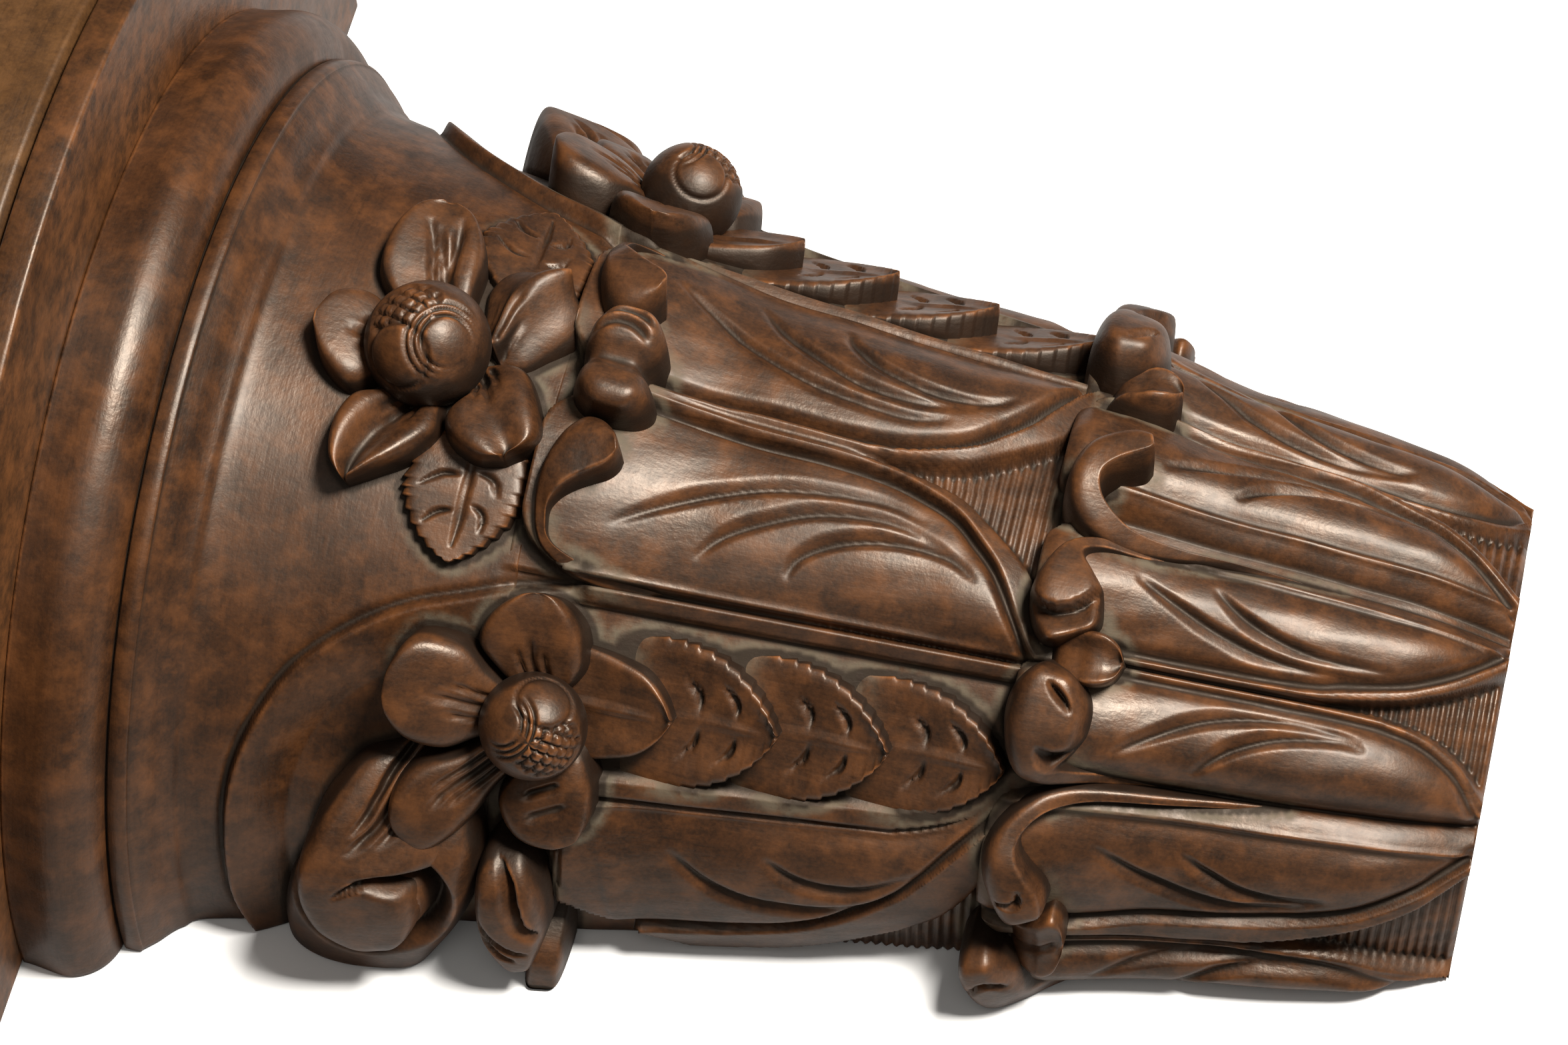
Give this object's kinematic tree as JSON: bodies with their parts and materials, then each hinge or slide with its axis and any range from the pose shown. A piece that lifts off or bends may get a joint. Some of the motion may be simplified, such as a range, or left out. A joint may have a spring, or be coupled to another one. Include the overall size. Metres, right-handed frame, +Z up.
{
  "type": "carved wooden corbel bracket",
  "caption": "Half-round walnut corbel shaped as a flared capital, carved with tiers of curled leaves, flowers and volutes under a moulded round-fronted top.",
  "frame": {"origin": "on the flat back that lies against the wall, on the centre line, at half the corbel's height", "axes": "+Z up towards the top board, +Y into the wall, -Y out to the front flower, +X to the right as seen from the front"},
  "size_m": [0.336, 0.168, 0.3715],
  "materials": {
    "walnut_carving": "dark reddish-brown stained walnut, waxed to a soft gloss, worn orange-brown on the arrises, grey dust in the cuts",
    "walnut_moulding": "dark red-brown stained walnut with streaky grain along the curve, waxed",
    "walnut_board": "warmer orange-brown walnut board, strong grain, waxed"
  },
  "bodies": {
    "root": {"carved_bell": "walnut_carving", "abacus_moulding": "walnut_moulding", "top_board": "walnut_board"}
  },
  "joints": []
}
